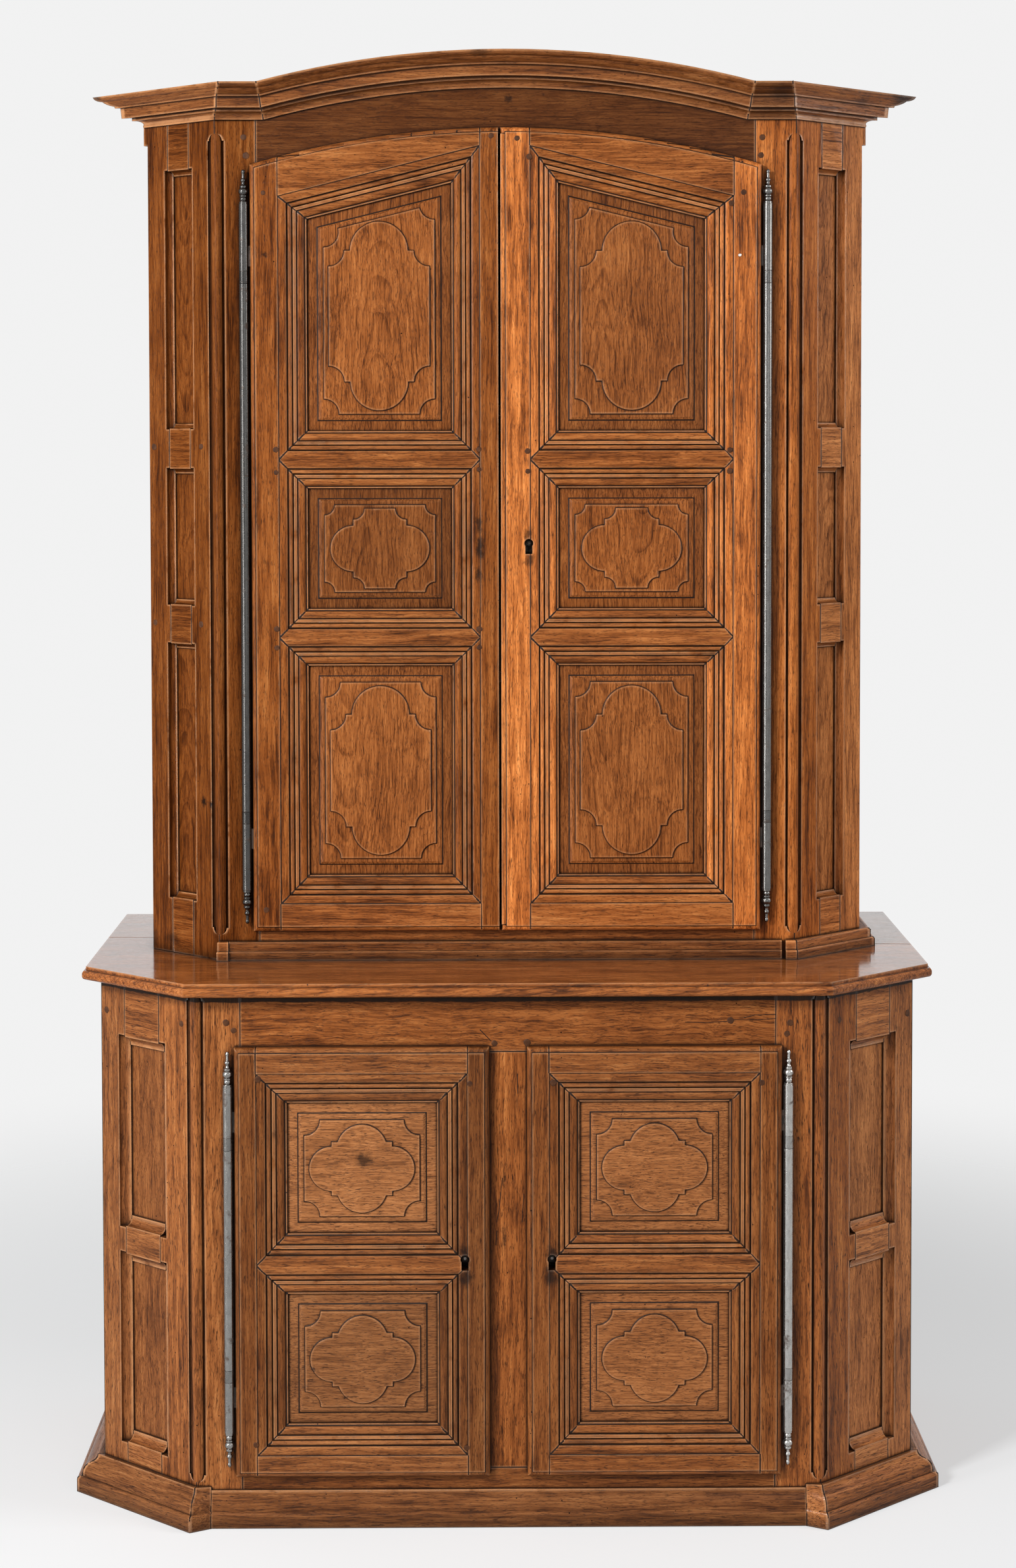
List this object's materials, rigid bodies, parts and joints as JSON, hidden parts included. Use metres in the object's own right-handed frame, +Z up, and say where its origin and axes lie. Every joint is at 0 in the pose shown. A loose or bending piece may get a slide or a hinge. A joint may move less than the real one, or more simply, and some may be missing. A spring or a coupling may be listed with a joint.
{
  "type": "two-part cupboard",
  "caption": "Tall two-part walnut cupboard with canted corners, arched panelled upper doors, panelled lower doors, an arched cornice and long iron rod hinges.",
  "frame": {"origin": "centre of the footprint at floor level", "axes": "+Z up, the doors look towards -Y, +X to the viewer's right"},
  "size_m": [1.3818, 0.622, 2.29],
  "materials": {
    "walnut": "waxed",
    "iron": "polished"
  },
  "bodies": {
    "case": {"plinth_front": "walnut", "plinth_corners": "walnut", "lower_corner_posts": "walnut", "lower_top_rail": "walnut", "lower_bottom_rail": "walnut", "lower_muntin": "walnut", "lower_cant_frames": "walnut", "lower_cant_panels": "walnut", "lower_sides": "walnut", "lower_back": "walnut", "lower_floor": "walnut", "lower_shelf": "walnut", "top_board_front_plank": "walnut", "top_board_back_plank": "walnut", "upper_corner_posts": "walnut", "frieze_rail": "walnut", "upper_bottom_rail": "walnut", "upper_cant_frames": "walnut", "upper_cant_panels": "walnut", "upper_sides": "walnut", "upper_back": "walnut", "upper_floor": "walnut", "upper_top": "walnut", "upper_shelves": "walnut", "shelf_battens": "walnut", "cornice_front": "walnut", "cornice_returns": "walnut", "base_moulding_front": "walnut", "base_moulding_right": "walnut", "hinge_barrels": "iron"},
    "lower_left_door": {"lower_left_door_stiles": "walnut", "lower_left_door_rails": "walnut", "lower_left_door_panels": "walnut", "lower_left_hinge_knuckles": "iron", "lower_left_hinge_pin": "iron", "lower_left_lock_case": "iron"},
    "lower_left_lock_bolt": {"lower_left_lock_bolt": "iron"},
    "lower_right_door": {"lower_right_door_stiles": "walnut", "lower_right_door_rails": "walnut", "lower_right_door_panels": "walnut", "lower_right_hinge_knuckles": "iron", "lower_right_hinge_pin": "iron", "lower_right_lock_case": "iron"},
    "lower_right_lock_bolt": {"lower_right_lock_bolt": "iron"},
    "upper_left_door": {"upper_left_door_stiles": "walnut", "upper_left_door_rails": "walnut", "upper_left_door_panels": "walnut", "upper_left_hinge_knuckles": "iron", "upper_left_hinge_pin": "iron", "upper_left_door_keepers": "iron"},
    "upper_right_door": {"upper_right_door_stiles": "walnut", "upper_right_door_rails": "walnut", "upper_right_door_panels": "walnut", "upper_right_hinge_knuckles": "iron", "upper_right_hinge_pin": "iron", "upper_right_lock_case": "iron"},
    "upper_right_lock_bolt": {"upper_right_lock_bolt": "iron"},
    "upper_left_top_bolt": {"upper_left_top_bolt": "iron"},
    "upper_left_bottom_bolt": {"upper_left_bottom_bolt": "iron"}
  },
  "joints": [
    {"name": "lower_left_door_hinge", "type": "hinge", "parent": "case", "child": "lower_left_door", "pos_m": [-0.4315, -0.284, 0.42], "axis": [0, 0, -1], "range_deg": [0, 170]},
    {"name": "lower_right_door_hinge", "type": "hinge", "parent": "case", "child": "lower_right_door", "pos_m": [0.4315, -0.284, 0.42], "axis": [0, 0, 1], "range_deg": [0, 170]},
    {"name": "upper_left_door_hinge", "type": "hinge", "parent": "case", "child": "upper_left_door", "pos_m": [-0.414, -0.122, 1.5], "axis": [0, 0, -1], "range_deg": [0, 170]},
    {"name": "upper_right_door_hinge", "type": "hinge", "parent": "case", "child": "upper_right_door", "pos_m": [0.414, -0.122, 1.5], "axis": [0, 0, 1], "range_deg": [0, 170]},
    {"name": "lower_left_lock_throw", "type": "slide", "parent": "lower_left_door", "child": "lower_left_lock_bolt", "axis": [1, 0, 0], "range_m": [0, 0.014]},
    {"name": "lower_right_lock_throw", "type": "slide", "parent": "lower_right_door", "child": "lower_right_lock_bolt", "axis": [-1, 0, 0], "range_m": [0, 0.014]},
    {"name": "upper_right_lock_throw", "type": "slide", "parent": "upper_right_door", "child": "upper_right_lock_bolt", "axis": [-1, 0, 0], "range_m": [0, 0.014]},
    {"name": "upper_left_top_bolt_slide", "type": "slide", "parent": "upper_left_door", "child": "upper_left_top_bolt", "axis": [0, 0, 1], "range_m": [0, 0.014]},
    {"name": "upper_left_bottom_bolt_slide", "type": "slide", "parent": "upper_left_door", "child": "upper_left_bottom_bolt", "axis": [0, 0, -1], "range_m": [0, 0.014]}
  ]
}
